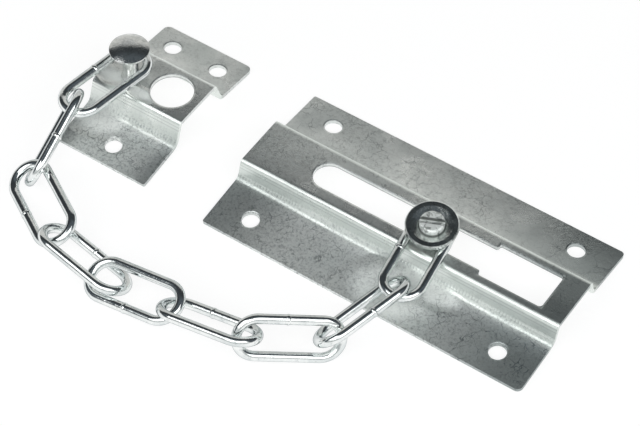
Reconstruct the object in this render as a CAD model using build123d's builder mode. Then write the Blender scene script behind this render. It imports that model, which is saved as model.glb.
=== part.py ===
from build123d import *
import os
from math import asin, cos, radians, sin

# A door chain: a bent slide plate with a keyhole channel, a knob captive in the channel,
# nine welded links and a small raised plate with a mushroom stud.
# Frame: the origin is the middle of the slide plate's four screw holes, on the door's face that
# the plate's long edges rest on. +X runs along the slide plate towards the wide end of the
# keyhole, +Z away from the door.

# Driving dimensions, in millimetres

# Sheet metal of both plates
sheet = 1.2
bend_radius = 0.4
foot_bend_radius = 2.2
screw_hole = 5.0
rivet_fit = 0.05

# Slide plate
plate_length = 100.0
plate_width = 54.2
channel_height = 8.5
channel_foot_height = 2.9
channel_shoulder = 2.7
riser_run = 1.6
hole_end_margin = 11.0
hole_edge_margin = 7.1
sharp_corner = 0.5
far_corner = 1.1
near_corner = 1.7

# Keyhole in the channel
slot_end_margin = 18.6
entry_end_margin = 6.9
entry_length = 19.4
entry_corner = 1.0
step_round = 0.6

# Links of round wire
wire = 2.7
link_inner_length = 25.2
hook_room = 2.6
weld_height = 0.15
weld_length = 1.3

# Knob: the link end turns round its neck, its foot rides under the channel
neck_clearance = 1.3
slot_clearance = 1.8
foot_overlap = 1.0
entry_clearance = 0.5
foot_gap = 0.2
foot_thickness = 1.2
cap_overlap = 3.25
cap_gap = 1.4
cap_thickness = 1.6
cap_lip = 0.4
cap_edge = 0.3
recess_rim = 1.6
recess_depth = 0.6
recess_room = 0.1
rivet_shank = 3.2
rivet_head = 6.9
rivet_head_height = 2.1
rivet_head_round = 0.8
rivet_slot_width = 1.6
rivet_slot_depth = 1.0
rivet_slot_turn = 24.0
rivet_tail = 5.4
rivet_tail_height = 0.8
rivet_tail_round = 0.4
knob_x = 6.8
knob_y = -1.5
knob_lean = 8.0
knob_lean_heading = -66.0

# Small plate with the stud
anchor_length = 29.8
anchor_width = 51.7
anchor_height = 10.1
anchor_top_width = 16.8
anchor_riser_run = 2.5
anchor_foot_height = 3.1
anchor_corner = 1.8
anchor_hole_spacing = 15.7
anchor_far_margin = 7.0
anchor_near_margin = 6.2
parking_hole = 12.2
parking_x = 6.1
stud_x = -6.7
stud_y = -1.6

# Mushroom stud
stud_neck_clearance = 1.8
stud_head_overlap = 1.6
stud_head_base = 10.5
stud_rim = 0.4
stud_dome = 1.4
stud_collar = 5.8
stud_collar_rise = 2.6
stud_flare_start = 6.8
stud_flare = 8.4
stud_shank = 3.8
stud_tail = 6.0
stud_tail_height = 0.8

# How the chain lies on the table, from link 1 at the stud to link 9 at the knob:
# the direction of each link in plan and its lean about its own length, in degrees,
# then at each hook the clear height under the wire, the slack and the sideways offset.
# The first two heights are over the small plate's raised middle, the last two over the channel.
link_count = 9
link_heading = [260, 275, 329, 352, 362, 364, 401, 432, 458]
link_lean = [-1, -61, -26, 28, -18, 29, -64, 41, 0]
stud_hook_lift = [3.7, 3.6]
free_hook_lift = [4.4, 5.4, 3.3, 6.9, 10.1, 4.8]
knob_hook_lift = [-0.3, 0.5]
hook_slack = [3.1, 1.6, 2.2, 7.4, 1.3, 2.3, 2.9, 2.4]
hook_offset = [0.9, 1.9, 1.1, 0.6, 0.5, 0.2, -1.4, 1.0]
knob_play = 0.45
stud_play = 0.95

# Which leg of each link carries the weld, +1 or -1 across the link, and how far along it
weld_side = [1, -1, 1, -1, 1, -1, -1, 1, -1]
weld_shift = [-1.0, 0.5, 0.0, -0.5, 0.0, -2.0, -1.0, 1.0, 0.5]

# Sizes that follow from those above
link_inner_width = 2 * wire + hook_room
leg_offset = (link_inner_width + wire) / 2
half_span = (link_inner_length + wire) / 2
leg_length = link_inner_length - link_inner_width
neck_diameter = link_inner_width - 2 * neck_clearance
slot_width = neck_diameter + 2 * slot_clearance
foot_diameter = slot_width + 2 * foot_overlap
entry_width = foot_diameter + 2 * entry_clearance
channel_width = entry_width + 2 * channel_shoulder
cap_diameter = link_inner_width + 2 * cap_overlap
cap_base = channel_height + wire + cap_gap
cap_top = cap_base + cap_thickness
stud_neck = link_inner_width - 2 * stud_neck_clearance
stud_head = link_inner_width + 2 * stud_head_overlap


def bent_section(edge, foot, foot_z, top, height):
    """Closed section of a sheet bent up into a raised channel, symmetric about its middle."""
    corners = [(-edge, sheet), (-foot, foot_z), (-top, height), (top, height), (foot, foot_z), (edge, sheet)]
    top_radius = bend_radius + sheet
    with BuildSketch(Plane.YZ) as section:
        with BuildLine():
            FilletPolyline(*corners, radius=[foot_bend_radius, top_radius, top_radius, foot_bend_radius])
            offset(amount=sheet, side=Side.RIGHT)
        make_face()
    return section.sketch


def corner_edge(plate, side, end):
    """Edge at one corner of a plate: side 0 is the near edge and -1 the far one, end 0 is -X and -1 is +X."""
    cut_edge = plate.faces().sort_by(Axis.Y)[side]
    return cut_edge.edges().filter_by(Axis.X, reverse=True).sort_by(Axis.X)[end]


# Slide plate: its flanges slope a little to the door
riser_foot = channel_width / 2 + riser_run
hole_spacing_x = plate_length - 2 * hole_end_margin
hole_spacing_y = plate_width - 2 * hole_edge_margin
slot_start = -plate_length / 2 + slot_end_margin
entry_end = plate_length / 2 - entry_end_margin
entry_start = entry_end - entry_length

with BuildPart() as slide_plate:
    section = bent_section(
        plate_width / 2, riser_foot, channel_foot_height, channel_width / 2, channel_height
    )
    extrude(section, amount=plate_length / 2, both=True)
    fillet(corner_edge(slide_plate, -1, 0), sharp_corner)
    fillet(corner_edge(slide_plate, 0, 0), sharp_corner)
    fillet(corner_edge(slide_plate, -1, -1), far_corner)
    fillet(corner_edge(slide_plate, 0, -1), near_corner)
    with BuildSketch(Plane.XY):
        with GridLocations(hole_spacing_x, hole_spacing_y, 2, 2):
            Circle(screw_hole / 2)
    extrude(amount=channel_height, mode=Mode.SUBTRACT)
    with BuildSketch(Plane.XY.offset(channel_height)) as keyhole:
        with Locations(((slot_start + entry_start + slot_width / 2) / 2, 0)):
            Rectangle(entry_start - slot_start - slot_width / 2, slot_width)
        with Locations((slot_start + slot_width / 2, 0)):
            Circle(slot_width / 2)
        with Locations(((entry_start + entry_end) / 2, 0)):
            Rectangle(entry_length, entry_width)
        fillet(keyhole.vertices().group_by(Axis.X)[-2], step_round)
        fillet(keyhole.vertices().group_by(Axis.X)[-1], entry_corner)
    extrude(amount=-2 * sheet, mode=Mode.SUBTRACT)
slide_plate.part.label = "slide_plate"

# Knob: a ring foot under the channel, a bush as neck, a dished cap and one slotted rivet.
# It leans in its loose slot about the middle of the sheet, until the foot's far edge is near the channel.
lean = radians(knob_lean)
lean_heading = radians(knob_lean_heading)
knob_direction = Vector(cos(lean_heading) * sin(lean), sin(lean_heading) * sin(lean), cos(lean))
knob_pivot = Vector(knob_x, knob_y, channel_height - sheet / 2)
knob_origin = knob_pivot - knob_direction * knob_pivot.Z
knob_side = Vector(0, 1, 0).cross(knob_direction).normalized()
knob_base = Plane(origin=knob_origin, x_dir=knob_side, z_dir=knob_direction)
knob_profile = Plane(origin=knob_origin, x_dir=knob_side, z_dir=knob_side.cross(knob_direction))
knob_axis = Axis(knob_origin, knob_direction)
foot_top = knob_pivot.Z - (sheet / 2 + foot_gap + foot_diameter / 2 * sin(lean)) / cos(lean)
foot_base = foot_top - foot_thickness
shank_hole = rivet_shank / 2 + rivet_fit
recess_floor = cap_top - recess_depth
cap_radius = cap_diameter / 2
recess_radius = cap_radius - recess_rim

with BuildPart() as knob_foot:
    with BuildSketch(knob_base.offset(foot_base)):
        Circle(foot_diameter / 2)
        Circle(shank_hole, mode=Mode.SUBTRACT)
    extrude(amount=foot_thickness)
knob_foot.part.label = "knob_foot"

with BuildPart() as knob_neck:
    with BuildSketch(knob_base.offset(foot_top)):
        Circle(neck_diameter / 2)
        Circle(shank_hole, mode=Mode.SUBTRACT)
    extrude(amount=cap_base - foot_top)
knob_neck.part.label = "knob_neck"

with BuildPart() as knob_cap:
    with BuildSketch(knob_profile):
        with BuildLine():
            Polyline(
                (shank_hole, cap_base),
                (cap_radius - cap_lip, cap_base),
                (cap_radius, cap_base + cap_lip),
                (cap_radius, cap_top - cap_edge),
                (cap_radius - cap_edge, cap_top),
                (recess_radius, cap_top),
                (rivet_head / 2 + recess_room, recess_floor),
                (shank_hole, recess_floor),
                close=True,
            )
        make_face()
    revolve(axis=knob_axis)
knob_cap.part.label = "knob_cap"

with BuildPart() as knob_rivet:
    with BuildSketch(knob_base.offset(foot_base)):
        Circle(rivet_shank / 2)
    extrude(amount=recess_floor - foot_base)
    with BuildSketch(knob_base.offset(recess_floor)):
        Circle(rivet_head / 2)
    extrude(amount=rivet_head_height)
    fillet(knob_rivet.edges().group_by(knob_axis)[-1], rivet_head_round)
    with BuildSketch(knob_base.offset(recess_floor + rivet_head_height - rivet_slot_depth)):
        with Locations(Location((0, 0), rivet_slot_turn)):
            Rectangle(2 * rivet_head, rivet_slot_width)
    extrude(amount=rivet_head_height, mode=Mode.SUBTRACT)
    with BuildSketch(knob_base.offset(foot_base)):
        Circle(rivet_tail / 2)
    extrude(amount=-rivet_tail_height)
    fillet(knob_rivet.edges().group_by(knob_axis)[0], rivet_tail_round)
knob_rivet.part.label = "knob_rivet"

# Chain: each link is placed from the one behind it, starting at the knob
hook_lift = [anchor_height + lift for lift in stud_hook_lift]
hook_lift += free_hook_lift
hook_lift += [channel_height + lift for lift in knob_hook_lift]
hook_height = [lift + wire / 2 for lift in hook_lift]


def link_directions(number):
    """Unit vectors along a link, towards the knob, and across it."""
    climb = asin((hook_height[number + 1] - hook_height[number]) / link_inner_length)
    heading = radians(link_heading[number])
    lean = radians(link_lean[number])
    along = Vector(cos(heading) * cos(climb), sin(heading) * cos(climb), sin(climb))
    right = along.cross(Vector(0, 0, 1)).normalized()
    up = right.cross(along)
    return along, right * cos(lean) + up * sin(lean)


def link_centre(rear, number):
    """Middle of a link whose rear crown lies at a point in plan, between its two hook heights."""
    middle = rear - link_directions(number)[0] * half_span
    return Vector(middle.X, middle.Y, (hook_height[number] + hook_height[number + 1]) / 2)


def heading_in_plan(number):
    """Unit vector of a link's heading in plan."""
    return Vector(cos(radians(link_heading[number])), sin(radians(link_heading[number])), 0)


last = link_count - 1
knob_reach = neck_diameter / 2 + wire / 2 + knob_play
link_centres = {last: link_centre(Vector(knob_x, knob_y, 0) + heading_in_plan(last) * knob_reach, last)}
for number in reversed(range(last)):
    along = link_directions(number)[0]
    along_behind = link_directions(number + 1)[0]
    front_crown = link_centres[number + 1] - along_behind * half_span
    onward = (along + along_behind).normalized()
    beside = Vector(-onward.Y, onward.X, 0).normalized()
    rear_crown = front_crown + onward * (wire + hook_slack[number]) + beside * hook_offset[number]
    link_centres[number] = link_centre(rear_crown, number)


def build_link(number):
    """A welded link: wire swept round two legs and two crowns, with a weld bead on one leg."""
    along, across = link_directions(number)
    lie = Plane(origin=link_centres[number], x_dir=along, z_dir=along.cross(across))
    weld_leg = weld_side[number] * leg_offset
    weld_middle = weld_shift[number]
    with BuildPart() as link:
        with BuildLine(lie):
            Line((-leg_length / 2, leg_offset), (leg_length / 2, leg_offset))
            ThreePointArc((leg_length / 2, leg_offset), (half_span, 0), (leg_length / 2, -leg_offset))
            Line((leg_length / 2, -leg_offset), (-leg_length / 2, -leg_offset))
            ThreePointArc((-leg_length / 2, -leg_offset), (-half_span, 0), (-leg_length / 2, leg_offset))
        with BuildSketch(Plane(origin=lie.from_local_coords((-leg_length / 2, leg_offset)), z_dir=along)):
            Circle(wire / 2)
        sweep()
        with BuildSketch(lie):
            with BuildLine():
                bead_start = (weld_middle - weld_length / 2, weld_leg + wire / 2 - weld_height)
                bead_top = (weld_middle, weld_leg + wire / 2 + weld_height)
                bead_end = (weld_middle + weld_length / 2, weld_leg + wire / 2 - weld_height)
                ThreePointArc(bead_start, bead_top, bead_end)
                Polyline(bead_end, (bead_end[0], weld_leg), (bead_start[0], weld_leg), bead_start)
            make_face()
        leg_middle = lie.from_local_coords((0, weld_leg))
        revolve(axis=Axis(leg_middle, along))
    return link.part


links = []
for number in range(link_count):
    link = build_link(number)
    link.label = f"link_{number + 1}"
    links.append(link)

# Small plate: raised in the middle, its flanges sloping to the door too
front_direction = link_directions(0)[0]
front_crown = link_centres[0] - front_direction * half_span
stud_reach = stud_neck / 2 + wire / 2 + stud_play
stud_axis_point = Vector(front_crown.X, front_crown.Y, 0) + heading_in_plan(0) * stud_reach
anchor_x = stud_axis_point.X - stud_x
anchor_y = stud_axis_point.Y - stud_y
far_holes_y = anchor_y + anchor_width / 2 - anchor_far_margin
near_hole_y = anchor_y - anchor_width / 2 + anchor_near_margin

with BuildPart() as anchor_plate:
    section = bent_section(
        anchor_width / 2,
        anchor_top_width / 2 + anchor_riser_run,
        anchor_foot_height,
        anchor_top_width / 2,
        anchor_height,
    )
    section = section.moved(Location((anchor_x, anchor_y, 0)))
    extrude(section, amount=anchor_length / 2, both=True)
    for end in (0, -1):
        fillet(corner_edge(anchor_plate, -1, end), anchor_corner)
        fillet(corner_edge(anchor_plate, 0, end), sharp_corner)
    with BuildSketch(Plane.XY):
        with Locations((anchor_x, far_holes_y)):
            with GridLocations(anchor_hole_spacing, 0, 2, 1):
                Circle(screw_hole / 2)
        with Locations((anchor_x, near_hole_y)):
            Circle(screw_hole / 2)
        with Locations((anchor_x + parking_x, anchor_y)):
            Circle(parking_hole / 2)
        with Locations((stud_axis_point.X, stud_axis_point.Y)):
            Circle(stud_shank / 2 + rivet_fit)
    extrude(amount=anchor_height, mode=Mode.SUBTRACT)
anchor_plate.part.label = "anchor_plate"

# Mushroom stud: riveted through the small plate, with a trumpet neck and a low dome
stud_plane = Plane(origin=stud_axis_point, x_dir=(1, 0, 0), z_dir=(0, -1, 0))
tail_top = anchor_height - sheet
tail_base = tail_top - stud_tail_height
head_base = anchor_height + stud_head_base
rim_top = head_base + stud_rim
dome_top = rim_top + stud_dome
neck_start = (stud_neck / 2, anchor_height + stud_collar_rise)
neck_end = (stud_neck / 2, anchor_height + stud_flare_start)

with BuildPart() as mushroom_stud:
    with BuildSketch(stud_plane):
        with BuildLine():
            Polyline(
                (0, dome_top),
                (0, tail_base),
                (stud_tail / 2, tail_base),
                (stud_tail / 2, tail_top),
                (stud_shank / 2, tail_top),
                (stud_shank / 2, anchor_height),
                (stud_collar / 2, anchor_height),
            )
            TangentArc(neck_start, (stud_collar / 2, anchor_height), tangent=(0, -1))
            Line(neck_start, neck_end)
            TangentArc(neck_end, (stud_flare / 2, head_base), tangent=(0, 1))
            Polyline((stud_flare / 2, head_base), (stud_head / 2, head_base), (stud_head / 2, rim_top))
            TangentArc((0, dome_top), (stud_head / 2, rim_top), tangent=(1, 0))
        make_face()
    revolve(axis=Axis(stud_axis_point, (0, 0, 1)))
mushroom_stud.part.label = "mushroom_stud"

# One file for each piece
os.makedirs("parts", exist_ok=True)
export_step(slide_plate.part, "parts/slide_plate.step")
export_step(knob_foot.part, "parts/knob_foot.step")
export_step(knob_neck.part, "parts/knob_neck.step")
export_step(knob_cap.part, "parts/knob_cap.step")
export_step(knob_rivet.part, "parts/knob_rivet.step")
for link in links:
    export_step(link, f"parts/{link.label}.step")
export_step(anchor_plate.part, "parts/anchor_plate.step")
export_step(mushroom_stud.part, "parts/mushroom_stud.step")
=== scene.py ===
import math
from types import SimpleNamespace

import bpy
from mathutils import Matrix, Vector

# A bright zinc-plated door chain on a white studio table, seen from above at the photograph's angle.

MM = 0.001

# Camera: fitted to the slide plate's corners and holes
CAMERA_PLACE = (220.9 * MM, -371.0 * MM, 543.7 * MM)
CAMERA_TILT = 39.0
CAMERA_TURN = 34.067
CAMERA_LENS = 145.35
CAMERA_SENSOR = 36.0
CAMERA_RANGE = (0.01, 20.0)

# Looks of the two plates, in millimetres. From the plate's middle: round holes as x, y and radius.
# In the shared frame: straight-sided openings as the middle's x and two half widths, and frosted
# patches, which also carry a painted highlight, as ellipses, with x, y and two half widths.
# right_shade: how strongly shade is painted into the zinc's colour towards the plate's right end.
SLIDE_LOOK = SimpleNamespace(
    light=(0.88, 0.91, 0.89),
    dark=(0.72, 0.76, 0.745),
    middle=(0.0, 0.0),
    half_length=50.0,
    foot=10.3,
    underside=7.3,
    press_lines=(7.0, 6.1),
    holes=[(39.0, 20.0, 2.5), (39.0, -20.0, 2.5), (-39.0, 20.0, 2.5), (-39.0, -20.0, 2.5), (-26.9, 0.0, 4.5)],
    openings=[(-1.6, 25.3, 4.5), (33.4, 9.7, 6.0)],
    frosted=[(5.5, -20.0, 12.0, 10.0), (11.0, -14.0, 12.0, 4.5)],
    far_hairs=1.0,
    right_shade=0.85,
    texture_shift=(0.0, 0.0, 0.0),
)
ANCHOR_LOOK = SimpleNamespace(
    light=(0.90, 0.92, 0.90),
    dark=(0.74, 0.78, 0.76),
    middle=(-85.42, 0.04),
    half_length=15.9,
    foot=10.86,
    underside=8.9,
    press_lines=(8.5, 7.6),
    holes=[(-7.85, 18.85, 2.5), (7.85, 18.85, 2.5), (0.0, -19.65, 2.5), (6.1, 0.0, 6.1)],
    openings=[],
    frosted=[(-95.5, -14.5, 9.0, 6.0), (-97.0, -4.3, 5.0, 3.0), (-86.0, -5.5, 5.0, 2.2)],
    far_hairs=0.15,
    right_shade=0.25,
    texture_shift=(0.31, 0.217, 0.0),
)

# Colours on the plates' zinc: painted shade, painted shade on the risers and a painted highlight in the
# frosted patches, then the marks, and the share of the dark zinc's colour in its dull spots
# Painted shade, laid over the zinc towards the right end and at the near flange's ends
PAINTED_SHADE_ZINC = (0.30, 0.34, 0.34)
# Painted shade on the risers, darker and greener than the flats
RISER_PAINTED_SHADE = (0.80, 0.86, 0.81)
# Painted highlight: the frosted patches are whitened
PAINTED_HIGHLIGHT_ZINC = (0.93, 0.97, 0.94)
DULL_SHARE = 0.42
PIT = (0.20, 0.23, 0.24)
HAIR_LINE = (0.08, 0.10, 0.11)
PRESS_LINE = (0.30, 0.33, 0.33)
PRESS_TICK = (0.28, 0.32, 0.31)
CUT_EDGE = (0.10, 0.11, 0.12)

# Regions of a plate, where they fade in, measured across it from its middle
CHANNEL_SPAN = (8.2 * MM, 7.2 * MM)
OUTSIDE_SPAN = (9.0 * MM, 11.0 * MM)
FLANGE_SPAN = (11.0 * MM, 13.5 * MM)

# Regions along a plate, as shares of its half length
ENDS_SPAN = (0.5, 0.95)
RIGHT_SPAN = (0.1, 0.95)
FLARE_SPAN = (-0.9, -0.2)

# Where the marks on a plate lie: across it, by height, from a hole's edge, and from a patch's middle
RISER_SPAN = (7.9 * MM, 8.6 * MM)
PRESS_LINE_WIDTH = 0.24 * MM
CUT_SPAN = (0.10 * MM, 0.02 * MM)
CUT_HEIGHT = 0.45 * MM
FROST_SPAN = (1.7, 0.3)
DENT_SPAN = (1.5, 0.0)
TICK_LENGTH = 0.95 * MM
TICK_INSET = 0.1
TICK_REACH = 0.55 * MM

# How far the zinc is from a mirror, and how much rougher it is
MATT_EVERYWHERE = 0.08
MATT_ON_NEAR = 0.33
MATT_LOST_AT_ENDS = 0.24
MATT_OF_FROST = 0.66
ROUGHER_ON_NEAR = 0.07
ROUGHER_IN_FROST = 0.20

# Relief of the pressed sheet, drawn as bumps. The curves are heights over a squared distance.
CROWN_HALF = 8.2 * MM
CROWN_CURVE = -3.6
FLARE_HEIGHT = 2.1 * MM
FLARE_FADE = 4.5 * MM
FLARE_AT_LEFT = 0.35
FLANGE_START = 12.5 * MM
FLANGE_CURVE = 3.4
FLANGE_TWIST = 7.0
FLANGE_SHARE = 0.75
DENT_SLOPE = 0.32
ROLL_WIDTH = 0.5 * MM
ROLL_DEPTH = 0.18 * MM

# Wire and turned pieces
WIRE_LIGHT = (0.92, 0.94, 0.93)
WIRE_DARK = (0.72, 0.76, 0.76)
WIRE_SPECK = (0.30, 0.33, 0.35)
WIRE_GLANCE = (0.50, 0.52, 0.53)
SCRATCH = (0.22, 0.25, 0.28)
STAIN = (0.10, 0.12, 0.11)
# Painted shade in the rivet's slot and at its head's foot, also used for dark dots along the slot's floor
SLOT_SHADOW = (0.05, 0.06, 0.055)
GLOSS_RANGE = 0.16

# Knob: the middle of its lean, its own axis, the direction across the slot of its rivet's head, and
# where the shade painted in that head's slot and at its foot fades in along the axis and across the slot
KNOB_PIVOT = (6.8 * MM, -1.5 * MM, 7.9 * MM)
KNOB_AXIS = (0.0566, -0.1271, 0.9903)
ACROSS_SLOT = (-0.3994, 0.9061, 0.1392)
SLOT_TOP_SPAN = (6.2 * MM, 6.6 * MM)
HEAD_FOOT_SHADE_SPAN = (6.5 * MM, 5.9 * MM)
SLOT_WALL = 0.82 * MM
UPPER_WALL_WIDTH = 0.26 * MM
LOWER_WALL_WIDTH = 0.16 * MM
DOTS_WIDTH = 0.20 * MM

# Floor
FLOOR_SIZE = 6.0
FLOOR_DROP = 0.05 * MM
FLOOR_COLOUR = (0.93, 0.935, 0.935)
FLOOR_SHOWN = (0.22, 0.22, 0.22)
FLOOR_GLOW = 0.85

# Sky, from the camera's side to the far side
FAR_SIDE = (-0.582, 0.813, 0.0)
HORIZON = (1.0, 1.0, 1.0)
NEAR_PANEL = (0.98, 1.0, 0.985)
NEAR_LOW = (0.50, 0.52, 0.52)
NEAR_CEILING = (0.078, 0.092, 0.104)
CEILING = (0.038, 0.043, 0.047)
FAR_PANEL = (0.60, 0.60, 0.585)
FAR_HORIZON = (0.70, 0.70, 0.68)

# Where the sky's parts fade into each other, by how far a direction points to the far side
CEILING_TO_FAR_PANEL = (0.64, 0.735)
CEILING_TO_NEAR_CEILING = (0.34, 0.14)
CEILING_TO_NEAR_PANEL = (-0.30, -0.44)
HORIZON_TO_FAR_HORIZON = (0.3, 0.9)

# The same, by the height of a direction
NEAR_PANEL_TO_LOW = (0.62, 0.34)
PANELS_TO_HORIZON = (0.24, 0.04)

# Lamps
LAMP_TARGET = (-0.03, -0.02, 0.0)
LAMP_SIZE = (1.2, 0.8)

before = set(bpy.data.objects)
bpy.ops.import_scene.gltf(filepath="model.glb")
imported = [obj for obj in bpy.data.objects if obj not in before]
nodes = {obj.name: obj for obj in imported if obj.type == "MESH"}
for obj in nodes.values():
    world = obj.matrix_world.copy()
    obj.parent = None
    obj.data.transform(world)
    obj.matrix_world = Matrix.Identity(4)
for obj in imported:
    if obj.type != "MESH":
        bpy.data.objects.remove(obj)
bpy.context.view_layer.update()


# Short calls for building node trees


class Tree:
    """A node tree with short calls for the nodes that the materials here share."""

    def __init__(self, node_tree):
        self.tree = node_tree
        self.tree.nodes.clear()

    def add(self, kind, **values):
        node = self.tree.nodes.new(kind)
        for key, value in values.items():
            setattr(node, key, value)
        return node

    def link(self, out_socket, in_socket):
        self.tree.links.new(out_socket, in_socket)

    def put(self, socket, value):
        """Sets a socket to a number, a vector or a colour without alpha, or links it to another socket."""
        if isinstance(value, bpy.types.NodeSocket):
            self.link(value, socket)
        elif socket.type == "RGBA":
            socket.default_value = (*value, 1.0)
        else:
            socket.default_value = value

    def filled(self, kind, inputs, **values):
        """A node with its first inputs set or linked in order."""
        node = self.add(kind, **values)
        for socket, value in zip(node.inputs, inputs):
            self.put(socket, value)
        return node

    # Numbers

    def math(self, operation, first, second=0.0, clamp=False):
        node = self.filled("ShaderNodeMath", (first, second), operation=operation, use_clamp=clamp)
        return node.outputs[0]

    def chain(self, operation, values):
        result = values[0]
        for value in values[1:]:
            result = self.math(operation, result, value)
        return result

    def times(self, *values):
        return self.chain("MULTIPLY", values)

    def plus(self, *values):
        return self.chain("ADD", values)

    def most(self, *values):
        return self.chain("MAXIMUM", values)

    def least(self, *values):
        return self.chain("MINIMUM", values)

    def minus(self, first, second):
        return self.math("SUBTRACT", first, second)

    def size(self, value):
        return self.math("ABSOLUTE", value)

    def squared(self, value):
        return self.math("POWER", value, 2.0)

    def rise(self, value, start, end):
        """0 at the start, 1 at the end, smooth between them and level outside."""
        node = self.filled("ShaderNodeMapRange", (value, start, end), interpolation_type="SMOOTHSTEP")
        return node.outputs[0]

    def bell(self, value, middle, width):
        """1 at the middle, falling smoothly to 0 at one width from it."""
        return self.rise(self.size(self.minus(value, middle)), width, 0.0)

    # Vectors

    def vector(self, operation, first, second):
        return self.filled("ShaderNodeVectorMath", (first, second), operation=operation).outputs[0]

    def dot(self, first, second):
        return self.filled("ShaderNodeVectorMath", (first, second), operation="DOT_PRODUCT").outputs["Value"]

    def parts(self, place):
        return tuple(self.filled("ShaderNodeSeparateXYZ", (place,)).outputs)

    # Colours and patterns

    def mix(self, factor, first, second):
        node = self.add("ShaderNodeMix", data_type="RGBA")
        self.put(node.inputs[0], factor)
        self.put(node.inputs[6], first)
        self.put(node.inputs[7], second)
        return node.outputs[2]

    def paint(self, colour, coat, mask, strength):
        """Lays a coat over a colour where the mask is 1, at a given strength."""
        return self.mix(self.times(mask, strength), colour, coat)

    def ramp(self, factor, start, end):
        """Grey levels between two stops, each a pair of a place and a level."""
        node = self.add("ShaderNodeValToRGB")
        for element, (place, level) in zip(node.color_ramp.elements, (start, end)):
            element.position = place
            element.color = (level, level, level, 1.0)
        self.put(node.inputs[0], factor)
        return node.outputs[0]

    def noise(self, place, scale, detail=3.0, roughness=0.55, distortion=0.0):
        node = self.add("ShaderNodeTexNoise")
        self.put(node.inputs["Vector"], place)
        node.inputs["Scale"].default_value = scale
        node.inputs["Detail"].default_value = detail
        node.inputs["Roughness"].default_value = roughness
        node.inputs["Distortion"].default_value = distortion
        return node.outputs[0]

    def bump(self, height, strength, distance, normal=None):
        node = self.add("ShaderNodeBump")
        node.inputs["Strength"].default_value = strength
        node.inputs["Distance"].default_value = distance
        self.put(node.inputs["Height"], height)
        if normal is not None:
            self.link(normal, node.inputs["Normal"])
        return node.outputs[0]


def new_material(name):
    """A metal material, its tree, its shader and the place of a point in the shared frame."""
    material = bpy.data.materials.new(name)
    material.use_nodes = True
    tree = Tree(material.node_tree)
    shader = tree.add("ShaderNodeBsdfPrincipled")
    output = tree.add("ShaderNodeOutputMaterial")
    tree.link(shader.outputs[0], output.inputs[0])
    shader.inputs["Metallic"].default_value = 1.0
    place = tree.add("ShaderNodeTexCoord").outputs["Object"]
    return material, tree, shader, place


def crackle(tree, place, cell, width, distortion):
    """Fine hair lines: the edges of distorted cells, broken up by noise. 1 on a line."""
    warp = tree.add("ShaderNodeTexNoise")
    tree.put(warp.inputs["Vector"], place)
    warp.inputs["Scale"].default_value = 1.0 / (cell * 0.8)
    scaled = tree.add("ShaderNodeVectorMath", operation="SCALE")
    tree.put(scaled.inputs[0], tree.vector("SUBTRACT", warp.outputs["Color"], (0.5, 0.5, 0.5)))
    scaled.inputs["Scale"].default_value = cell * distortion
    cells = tree.add("ShaderNodeTexVoronoi", feature="DISTANCE_TO_EDGE")
    tree.put(cells.inputs["Vector"], tree.vector("ADD", place, scaled.outputs[0]))
    cells.inputs["Scale"].default_value = 1.0 / cell
    line = tree.ramp(cells.outputs["Distance"], (0.0, 1.0), (width, 0.0))
    broken = tree.ramp(tree.noise(place, scale=0.9 / cell, detail=2.0), (0.47, 0.0), (0.6, 1.0))
    return tree.times(line, broken)


# Zinc on the two pressed plates


def circle_distance(tree, at, place, radius):
    """Distance from the edge of a round hole, in the plane of the door."""
    off_x = tree.minus(at.x, place[0] * MM)
    off_y = tree.minus(at.y, place[1] * MM)
    squares = tree.plus(tree.times(off_x, off_x), tree.times(off_y, off_y))
    return tree.minus(tree.math("SQRT", squares), radius * MM)


def box_distance(tree, at, middle, half_length, half_width):
    """Distance from the edge of a straight-sided opening on the plate's middle line."""
    along = tree.minus(tree.size(tree.minus(at.x, middle * MM)), half_length * MM)
    across = tree.minus(tree.size(at.y), half_width * MM)
    return tree.most(along, across)


def edge_distance(tree, at, look):
    """Distance from the nearest edge of any hole or opening, less than 0 inside it."""
    distances = []
    for hole_x, hole_y, radius in look.holes:
        place = (look.middle[0] + hole_x, look.middle[1] + hole_y)
        distances.append(circle_distance(tree, at, place, radius))
    for opening in look.openings:
        distances.append(box_distance(tree, at, *opening))
    return tree.least(*distances)


def ellipse(tree, at, place):
    """0 at the middle of an ellipse, 1 on its edge: place is x, y and the two half widths."""
    off_x = tree.math("DIVIDE", tree.minus(at.x, place[0] * MM), place[2] * MM)
    off_y = tree.math("DIVIDE", tree.minus(at.y, place[1] * MM), place[3] * MM)
    return tree.plus(tree.times(off_x, off_x), tree.times(off_y, off_y))


def plate_regions(tree, place, look):
    """Where a point lies on a plate: its coordinates, and masks of 0 to 1 for the regions of the sheet."""
    half_length = look.half_length * MM
    at = SimpleNamespace()
    at.x, at.y, at.z = tree.parts(place)
    along = tree.minus(at.x, look.middle[0] * MM)
    across = tree.minus(at.y, look.middle[1] * MM)
    at.out = tree.size(across)
    at.near = tree.rise(across, -OUTSIDE_SPAN[0], -OUTSIDE_SPAN[1])
    at.far = tree.rise(across, *OUTSIDE_SPAN)
    at.ends = tree.rise(tree.size(along), ENDS_SPAN[0] * half_length, ENDS_SPAN[1] * half_length)
    at.right = tree.rise(along, RIGHT_SPAN[0] * half_length, RIGHT_SPAN[1] * half_length)
    at.wide = tree.rise(along, FLARE_SPAN[0] * half_length, FLARE_SPAN[1] * half_length)
    at.flats = tree.most(tree.rise(at.out, *CHANNEL_SPAN), tree.rise(at.out, *FLANGE_SPAN))
    at.edge = edge_distance(tree, at, look)
    return at


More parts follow.
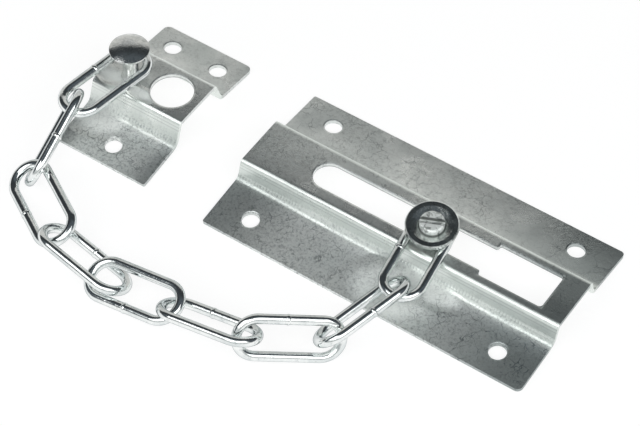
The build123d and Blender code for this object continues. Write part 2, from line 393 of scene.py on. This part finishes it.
def plate_patterns(tree, place, at, look):
    """The patterns in the zinc: clouds, speckle, grain, hair lines, press ticks and frosted patches, which
    also carry a painted highlight.
    """
    own_place = tree.vector("ADD", place, look.texture_shift)
    on = SimpleNamespace()
    clouds = tree.noise(own_place, scale=45.0, detail=4.0, roughness=0.6, distortion=0.8)
    on.clouds = tree.ramp(clouds, (0.36, 0.0), (0.64, 1.0))
    on.grain = tree.noise(own_place, scale=2200.0, detail=3.0, roughness=0.75)
    on.speckle = tree.noise(own_place, scale=900.0, detail=5.0, roughness=0.8)
    on.waves = tree.noise(own_place, scale=34.0, detail=2.0)
    patches = tree.noise(own_place, scale=60.0, detail=3.0, roughness=0.6)
    patches = tree.ramp(patches, (0.40, 0.35), (0.58, 1.0))
    on.patches = tree.most(patches, tree.times(at.near, 0.85))
    pits = tree.noise(own_place, scale=1500.0, detail=3.0, roughness=0.7)
    on.pits = tree.ramp(pits, (0.52, 0.0), (0.62, 1.0))

    hair = crackle(tree, own_place, cell=5.0 * MM, width=0.028, distortion=0.9)
    fine_hair = crackle(tree, own_place, cell=2.2 * MM, width=0.05, distortion=1.0)
    hairs = tree.most(hair, tree.times(fine_hair, on.patches))
    hairs = tree.times(hairs, tree.plus(tree.times(at.flats, 0.8), 0.2))
    on.hairs = tree.times(hairs, tree.minus(1.0, tree.times(at.far, 1.0 - look.far_hairs)))

    beside_foot = tree.bell(at.out, (look.foot - TICK_INSET) * MM, TICK_REACH)
    ticked = tree.ramp(tree.noise(own_place, scale=120.0, detail=2.0), (0.42, 0.0), (0.56, 1.0))
    ticks = tree.math("SINE", tree.times(at.x, 2 * math.pi / TICK_LENGTH))
    on.ticks = tree.times(ticks, ticked, beside_foot)

    ragged = tree.times(tree.noise(own_place, scale=180.0, detail=4.0, roughness=0.7), 0.9)
    frosts = []
    dents = []
    for spot in look.frosted:
        off = ellipse(tree, at, spot)
        frosts.append(tree.rise(tree.plus(off, ragged), *FROST_SPAN))
        slope = tree.times(tree.minus(at.y, spot[1] * MM), DENT_SLOPE)
        dents.append(tree.times(slope, tree.rise(off, *DENT_SPAN)))
    on.frost = tree.most(*frosts)
    on.dents = tree.plus(*dents)
    return on


def plate_colour(tree, at, on, look):
    """Zinc from light to dark, with shade painted towards the right and at the near flange's ends, painted
    shade on the risers, a painted highlight in the frosted patches, and its marks laid over it one by one.
    """
    colour = tree.mix(on.clouds, look.light, look.dark)
    # Painted shade: the zinc is darkened towards the right end and at the near flange's ends.
    right = tree.times(at.right, at.flats, look.right_shade)
    shade = tree.most(right, tree.times(at.near, at.ends, 0.5))
    colour = tree.mix(shade, colour, PAINTED_SHADE_ZINC)
    # Painted shade on the risers: they are darker and greener than the flats.
    colour = tree.paint(colour, RISER_PAINTED_SHADE, tree.minus(1.0, at.flats), strength=0.5)
    dull = tree.times(tree.ramp(on.speckle, (0.48, 0.0), (0.62, 1.0)), on.patches, at.flats)
    dull_zinc = [level * DULL_SHARE for level in look.dark]
    colour = tree.paint(colour, dull_zinc, dull, strength=0.42)
    colour = tree.paint(colour, PIT, on.pits, strength=tree.times(at.near, 0.45))
    colour = tree.paint(colour, HAIR_LINE, on.hairs, strength=tree.plus(tree.times(at.near, 0.35), 0.5))
    lines = tree.most(*[tree.bell(at.z, height * MM, PRESS_LINE_WIDTH) for height in look.press_lines])
    lines = tree.times(lines, tree.rise(at.out, *RISER_SPAN))
    colour = tree.paint(colour, PRESS_LINE, lines, strength=0.36)
    colour = tree.paint(colour, PRESS_TICK, on.ticks, strength=0.4)
    # Painted highlight: the frosted patches are whitened, on top of their matt and rough zinc.
    colour = tree.paint(colour, PAINTED_HIGHLIGHT_ZINC, on.frost, strength=0.7)
    cut_rim = tree.rise(at.edge, *CUT_SPAN)
    cut_rim = tree.times(cut_rim, tree.bell(at.z, look.underside * MM, CUT_HEIGHT))
    return tree.paint(colour, CUT_EDGE, cut_rim, strength=0.75)


def plate_metal(tree, at, on):
    """Less of a mirror on the near flange, away from its ends, and where the zinc is frosted."""
    near_matt = tree.times(at.near, tree.minus(MATT_ON_NEAR, tree.times(at.ends, MATT_LOST_AT_ENDS)))
    matt = tree.plus(near_matt, MATT_EVERYWHERE, tree.times(on.frost, MATT_OF_FROST))
    return tree.math("SUBTRACT", 1.0, matt, clamp=True)


def plate_roughness(tree, at, on):
    """Mottled gloss, rougher on the near flange and where the zinc is frosted."""
    mottled = tree.plus(tree.times(on.clouds, 0.6), tree.times(on.speckle, 0.4))
    rough = tree.ramp(mottled, (0.2, 0.24), (0.8, 0.38))
    return tree.plus(rough, tree.times(at.near, ROUGHER_ON_NEAR), tree.times(on.frost, ROUGHER_IN_FROST))


def plate_relief(tree, at, on, look):
    """The sheet's relief: a crowned channel, flaring feet, flanges that level out, dents and rolled edges."""
    crown = tree.times(tree.squared(tree.least(at.out, CROWN_HALF)), CROWN_CURVE)
    beyond = tree.most(tree.minus(at.out, look.foot * MM), 0.0)
    flare = tree.times(tree.math("EXPONENT", tree.math("DIVIDE", beyond, -FLARE_FADE)), FLARE_HEIGHT)
    flare = tree.times(flare, tree.plus(tree.times(at.wide, 1.0 - FLARE_AT_LEFT), FLARE_AT_LEFT))
    outer = tree.most(tree.minus(at.out, FLANGE_START), 0.0)
    twist = tree.plus(tree.times(at.x, FLANGE_TWIST), FLANGE_SHARE)
    level_out = tree.times(tree.squared(outer), FLANGE_CURVE, twist)
    shape = tree.plus(tree.plus(crown, flare), tree.plus(level_out, on.dents))
    speckled = tree.times(on.speckle, tree.times(on.patches, at.flats))
    rolled = tree.times(tree.rise(at.edge, ROLL_WIDTH, 0.0), -ROLL_DEPTH)
    normal = tree.bump(shape, strength=1.0, distance=1.0)
    normal = tree.bump(on.waves, strength=1.0, distance=0.9 * MM, normal=normal)
    normal = tree.bump(rolled, strength=1.0, distance=1.0, normal=normal)
    normal = tree.bump(speckled, strength=1.0, distance=0.10 * MM, normal=normal)
    normal = tree.bump(tree.times(on.hairs, -1.0), strength=0.5, distance=0.04 * MM, normal=normal)
    normal = tree.bump(on.grain, strength=0.4, distance=0.03 * MM, normal=normal)
    return tree.bump(on.ticks, strength=0.4, distance=0.04 * MM, normal=normal)


def plate_material(name, look):
    """Bright zinc on pressed sheet."""
    material, tree, shader, place = new_material(name)
    at = plate_regions(tree, place, look)
    on = plate_patterns(tree, place, at, look)
    tree.put(shader.inputs["Base Color"], plate_colour(tree, at, on, look))
    tree.put(shader.inputs["Metallic"], plate_metal(tree, at, on))
    tree.put(shader.inputs["Roughness"], plate_roughness(tree, at, on))
    tree.put(shader.inputs["Normal"], plate_relief(tree, at, on, look))
    return material


# Zinc on the wire and on the turned pieces


def wire_material(name):
    """Bright plating on drawn wire."""
    material, tree, shader, place = new_material(name)
    clouds = tree.ramp(tree.noise(place, scale=160.0, detail=3.0, roughness=0.6), (0.38, 0.0), (0.66, 1.0))
    specks = tree.ramp(tree.noise(place, scale=900.0, detail=3.0, roughness=0.7), (0.56, 0.0), (0.70, 1.0))
    colour = tree.mix(clouds, WIRE_LIGHT, WIRE_DARK)
    tree.put(shader.inputs["Base Color"], tree.paint(colour, WIRE_SPECK, specks, strength=0.35))
    tree.put(shader.inputs["Roughness"], tree.ramp(clouds, (0.0, 0.08), (1.0, 0.18)))
    tree.put(shader.inputs["Specular Tint"], WIRE_GLANCE)
    ripple = tree.noise(place, scale=350.0)
    tree.put(shader.inputs["Normal"], tree.bump(ripple, strength=0.6, distance=0.10 * MM))
    return material


def slot_shade_marks(tree, place):
    """Painted shade on the driven rivet, in its slot's walls and at the head's foot, and dark dots along the
    slot's floor.
    """
    off = tree.vector("SUBTRACT", place, KNOB_PIVOT)
    height = tree.dot(off, KNOB_AXIS)
    across = tree.dot(off, ACROSS_SLOT)
    upper_wall_shade = tree.bell(across, SLOT_WALL, UPPER_WALL_WIDTH)
    wall_shade = tree.most(upper_wall_shade, tree.bell(across, -SLOT_WALL, LOWER_WALL_WIDTH))
    dots = tree.ramp(tree.noise(place, scale=1500.0, detail=2.0), (0.44, 0.0), (0.54, 1.0))
    dotted = tree.times(tree.bell(across, 0.0, DOTS_WIDTH), dots)
    lines = tree.times(tree.most(wall_shade, dotted), tree.rise(height, *SLOT_TOP_SPAN))
    return tree.most(lines, tree.rise(height, *HEAD_FOOT_SHADE_SPAN))


def turned_material(name, light, dark, rough, wave, stains, metallic, find_painted_shade=None):
    """Turned and plated steel: cloudy tone and gloss, fine scratches, dark stains, grain, and painted shade
    where a function for it is given.
    """
    material, tree, shader, place = new_material(name)
    clouds = tree.noise(place, scale=260.0, detail=4.0, roughness=0.65)
    clouds = tree.ramp(clouds, (0.38, 0.0), (0.66, 1.0))
    scratches = crackle(tree, place, cell=1.6 * MM, width=0.05, distortion=1.3)
    stained = tree.noise(place, scale=620.0, detail=4.0, roughness=0.7, distortion=0.6)
    stained = tree.ramp(stained, (0.50, 0.0), (0.60, 1.0))
    grain = tree.noise(place, scale=700.0, detail=5.0, roughness=0.75)
    colour = tree.mix(clouds, light, dark)
    colour = tree.paint(colour, SCRATCH, scratches, strength=0.35)
    colour = tree.paint(colour, STAIN, stained, strength=stains)
    if find_painted_shade:
        # Painted shade in the rivet's slot walls and at its head's foot, with dark dots along the slot's
        # floor.
        colour = tree.paint(colour, SLOT_SHADOW, find_painted_shade(tree, place), strength=0.85)
    tree.put(shader.inputs["Base Color"], colour)
    tree.put(shader.inputs["Metallic"], metallic)
    tree.put(shader.inputs["Roughness"], tree.ramp(clouds, (0.0, rough), (1.0, rough + GLOSS_RANGE)))
    tree.put(shader.inputs["Normal"], tree.bump(grain, strength=0.5, distance=wave))
    return material


def dress(node, material):
    """Gives a CAD node its material."""
    piece = nodes[node]
    if not piece.material_slots:
        piece.data.materials.append(material)
    for slot in piece.material_slots:
        slot.material = material


slide_zinc = plate_material("slide_plate_zinc", SLIDE_LOOK)
anchor_zinc = plate_material("anchor_zinc", ANCHOR_LOOK)
wire_zinc = wire_material("link_zinc")
knob_zinc = turned_material(
    "knob_zinc",
    light=(0.82, 0.84, 0.82),
    dark=(0.58, 0.62, 0.60),
    rough=0.12,
    wave=0.11 * MM,
    stains=0.35,
    metallic=1.0,
)
rivet_zinc = turned_material(
    "rivet_zinc",
    light=(0.93, 0.96, 0.94),
    dark=(0.80, 0.84, 0.82),
    rough=0.46,
    wave=0.30 * MM,
    stains=0.75,
    metallic=0.5,
    find_painted_shade=slot_shade_marks,
)
stud_zinc = turned_material(
    "stud_zinc",
    light=(0.84, 0.85, 0.83),
    dark=(0.68, 0.70, 0.70),
    rough=0.10,
    wave=0.14 * MM,
    stains=0.20,
    metallic=1.0,
)

dress("slide_plate", slide_zinc)
dress("anchor_plate", anchor_zinc)
for number in range(1, 10):
    dress(f"link_{number}", wire_zinc)
for node in ("knob_cap", "knob_neck", "knob_foot"):
    dress(node, knob_zinc)
dress("knob_rivet", rivet_zinc)
dress("mushroom_stud", stud_zinc)


# Floor: a white table just under the part


def floor_material():
    """White to the eye and in reflections, where it glows a little, and it still takes shadows."""
    material = bpy.data.materials.new("floor")
    material.use_nodes = True
    tree = Tree(material.node_tree)
    lit = tree.filled("ShaderNodeBsdfDiffuse", (FLOOR_COLOUR,))
    shown = tree.filled("ShaderNodeBsdfDiffuse", (FLOOR_SHOWN,))
    glow = tree.add("ShaderNodeEmission")
    tree.put(glow.inputs["Strength"], FLOOR_GLOW)
    both = tree.filled("ShaderNodeAddShader", (shown.outputs[0], glow.outputs[0]))
    ray = tree.add("ShaderNodeLightPath").outputs
    seen = tree.most(ray["Is Camera Ray"], ray["Is Glossy Ray"], ray["Is Transmission Ray"])
    choice = tree.filled("ShaderNodeMixShader", (seen, lit.outputs[0], both.outputs[0]))
    tree.filled("ShaderNodeOutputMaterial", (choice.outputs[0],))
    return material


def keep_below(floor, pieces, gap):
    """Holds the floor this far under the lowest piece, so that none dips into it as the chain swings."""
    group = bpy.data.node_groups.new("floor height", "GeometryNodeTree")
    group.interface.new_socket("Geometry", in_out="INPUT", socket_type="NodeSocketGeometry")
    group.interface.new_socket("Geometry", in_out="OUTPUT", socket_type="NodeSocketGeometry")
    tree = Tree(group)
    start = tree.add("NodeGroupInput")
    joined = tree.add("GeometryNodeJoinGeometry")
    for piece in pieces:
        shape = tree.add("GeometryNodeObjectInfo", transform_space="RELATIVE")
        shape.inputs["Object"].default_value = piece
        tree.link(shape.outputs["Geometry"], joined.inputs[0])
    box = tree.add("GeometryNodeBoundBox")
    tree.link(joined.outputs[0], box.inputs[0])
    lowest = tree.parts(box.outputs["Min"])[2]
    drop = tree.filled("ShaderNodeCombineXYZ", (0.0, 0.0, tree.minus(lowest, gap)))
    moved = tree.add("GeometryNodeSetPosition")
    tree.link(start.outputs[0], moved.inputs["Geometry"])
    tree.link(drop.outputs[0], moved.inputs["Offset"])
    end = tree.add("NodeGroupOutput")
    tree.link(moved.outputs["Geometry"], end.inputs[0])
    floor.modifiers.new("below", "NODES").node_group = group


def build_floor():
    """A white table top."""
    half = FLOOR_SIZE / 2
    corners = [(-half, -half, 0.0), (half, -half, 0.0), (half, half, 0.0), (-half, half, 0.0)]
    mesh = bpy.data.meshes.new("floor")
    mesh.from_pydata(corners, [], [(0, 1, 2, 3)])
    mesh.materials.append(floor_material())
    floor = bpy.data.objects.new("floor", mesh)
    bpy.context.collection.objects.link(floor)
    keep_below(floor, nodes.values(), FLOOR_DROP)


# Sky, lamps and camera


def build_sky():
    """A pale horizon, a white panel on the near side, a light grey one on the far side, a dark ceiling."""
    world = bpy.data.worlds.new("studio")
    bpy.context.scene.world = world
    world.use_nodes = True
    tree = Tree(world.node_tree)
    direction = tree.add("ShaderNodeTexCoord").outputs["Generated"]
    height = tree.parts(direction)[2]
    away = tree.dot(direction, FAR_SIDE)
    colour = tree.mix(tree.rise(away, *CEILING_TO_FAR_PANEL), CEILING, FAR_PANEL)
    colour = tree.mix(tree.rise(away, *CEILING_TO_NEAR_CEILING), colour, NEAR_CEILING)
    near_panel = tree.mix(tree.rise(height, *NEAR_PANEL_TO_LOW), NEAR_PANEL, NEAR_LOW)
    colour = tree.mix(tree.rise(away, *CEILING_TO_NEAR_PANEL), colour, near_panel)
    horizon = tree.mix(tree.rise(away, *HORIZON_TO_FAR_HORIZON), HORIZON, FAR_HORIZON)
    colour = tree.mix(tree.rise(height, *PANELS_TO_HORIZON), colour, horizon)
    background = tree.filled("ShaderNodeBackground", (colour,))
    tree.filled("ShaderNodeOutputWorld", (background.outputs[0],))


def build_lamp(name, place, power):
    lamp = bpy.data.lights.new(name, "AREA")
    lamp.shape = "RECTANGLE"
    lamp.size, lamp.size_y = LAMP_SIZE
    lamp.energy = power
    holder = bpy.data.objects.new(name, lamp)
    holder.location = place
    aim = Vector(LAMP_TARGET) - Vector(place)
    holder.rotation_euler = aim.to_track_quat("-Z", "Y").to_euler()
    bpy.context.collection.objects.link(holder)


def build_camera():
    camera = bpy.data.cameras.new("camera")
    camera.lens = CAMERA_LENS
    camera.sensor_width = CAMERA_SENSOR
    camera.clip_start, camera.clip_end = CAMERA_RANGE
    holder = bpy.data.objects.new("camera", camera)
    holder.location = CAMERA_PLACE
    holder.rotation_euler = (math.radians(CAMERA_TILT), 0.0, math.radians(CAMERA_TURN))
    bpy.context.collection.objects.link(holder)
    bpy.context.scene.camera = holder


build_floor()
build_sky()
build_lamp("key", place=(-0.20, -0.80, 1.0), power=5.2)
build_lamp("fill", place=(0.75, -0.35, 0.95), power=4.0)
build_camera()

bpy.context.scene.view_settings.view_transform = "Standard"
